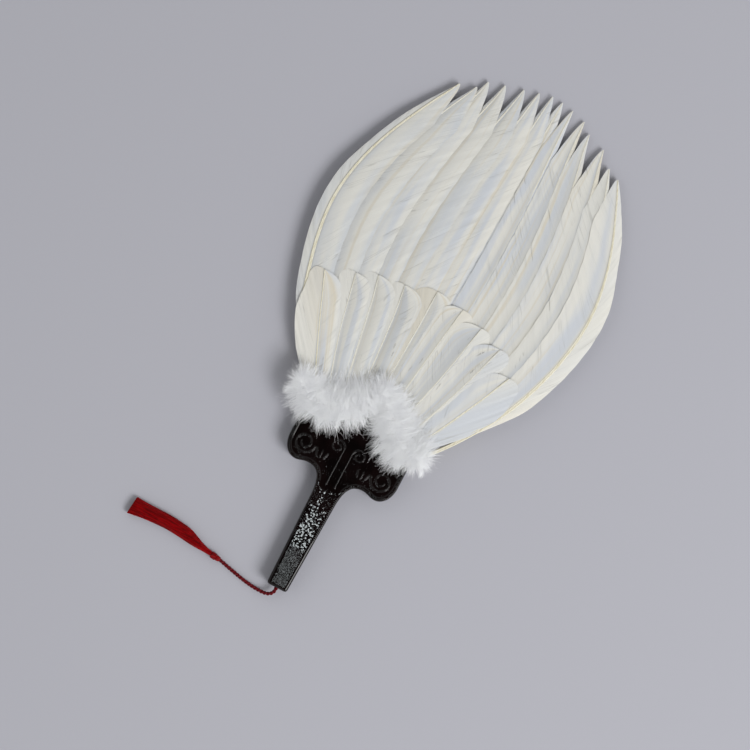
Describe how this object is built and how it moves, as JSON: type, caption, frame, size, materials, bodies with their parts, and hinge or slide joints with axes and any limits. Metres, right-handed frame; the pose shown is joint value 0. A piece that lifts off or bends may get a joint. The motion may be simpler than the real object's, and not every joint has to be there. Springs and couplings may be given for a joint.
{
  "type": "feather hand fan",
  "caption": "Rigid hand fan of overlapping white feathers held in a black moulded handle, with down tufts over the joint and a red tassel on a cord.",
  "frame": {"origin": "middle of the grip on the flat back face of the handle, on which the fan lies", "axes": "+Y along the handle towards the feather tips, +Z out of the front face, +X to the right seen from the front"},
  "size_m": [0.2356, 0.4089, 0.0221],
  "materials": {
    "flight_feather": "off-white flight feather vane with a cream shaft, satin",
    "covert_feather": "off-white covert feather, soft satin",
    "down": "cool white down, matt",
    "stitch_thread": "off-white sewing thread",
    "handle_plastic": "black with a warm tint, very glossy, moulded relief",
    "cord": "dark crimson twisted cord",
    "tassel_thread": "red silky thread"
  },
  "bodies": {
    "fan": {"front_flight_feather_01": "flight_feather", "front_flight_feather_02": "flight_feather", "front_flight_feather_03": "flight_feather", "front_flight_feather_04": "flight_feather", "front_flight_feather_05": "flight_feather", "front_flight_feather_06": "flight_feather", "front_flight_feather_07": "flight_feather", "front_flight_feather_08": "flight_feather", "front_flight_feather_09": "flight_feather", "front_flight_feather_10": "flight_feather", "front_flight_feather_11": "flight_feather", "front_flight_feather_12": "flight_feather", "front_flight_feather_13": "flight_feather", "front_flight_feather_14": "flight_feather", "back_flight_feather_01": "flight_feather", "back_flight_feather_02": "flight_feather", "back_flight_feather_03": "flight_feather", "back_flight_feather_04": "flight_feather", "back_flight_feather_05": "flight_feather", "back_flight_feather_06": "flight_feather", "back_flight_feather_07": "flight_feather", "back_flight_feather_08": "flight_feather", "back_flight_feather_09": "flight_feather", "back_flight_feather_10": "flight_feather", "back_flight_feather_11": "flight_feather", "back_flight_feather_12": "flight_feather", "back_flight_feather_13": "flight_feather", "back_flight_feather_14": "flight_feather", "front_covert_feather_01": "covert_feather", "front_covert_feather_02": "covert_feather", "front_covert_feather_03": "covert_feather", "front_covert_feather_04": "covert_feather", "front_covert_feather_05": "covert_feather", "front_covert_feather_06": "covert_feather", "front_covert_feather_07": "covert_feather", "front_covert_feather_08": "covert_feather", "front_covert_feather_09": "covert_feather", "back_covert_feather_01": "covert_feather", "back_covert_feather_02": "covert_feather", "back_covert_feather_03": "covert_feather", "back_covert_feather_04": "covert_feather", "back_covert_feather_05": "covert_feather", "back_covert_feather_06": "covert_feather", "back_covert_feather_07": "covert_feather", "back_covert_feather_08": "covert_feather", "back_covert_feather_09": "covert_feather", "down_tuft_front_left": "down", "down_tuft_front_right": "down", "down_tuft_back_left": "down", "down_tuft_back_right": "down", "stitch_thread_lower": "stitch_thread", "stitch_thread_upper": "stitch_thread", "handle_front_shell": "handle_plastic", "handle_back_shell": "handle_plastic", "cord_knot": "cord"},
    "cord": {"tassel_cord": "cord"},
    "tassel": {"tassel_head": "tassel_thread", "tassel_binding": "tassel_thread", "tassel_skirt": "tassel_thread"}
  },
  "joints": [
    {"name": "cord_swing", "type": "hinge", "parent": "fan", "child": "cord", "pos_m": [0, -0.0473, 0.0065], "axis": [0, 0, 1], "range_deg": [-15, 120]},
    {"name": "tassel_swing", "type": "hinge", "parent": "cord", "child": "tassel", "pos_m": [-0.0451, -0.0468, 0.00285], "axis": [0, 0, 1], "range_deg": [-35, 35]}
  ]
}
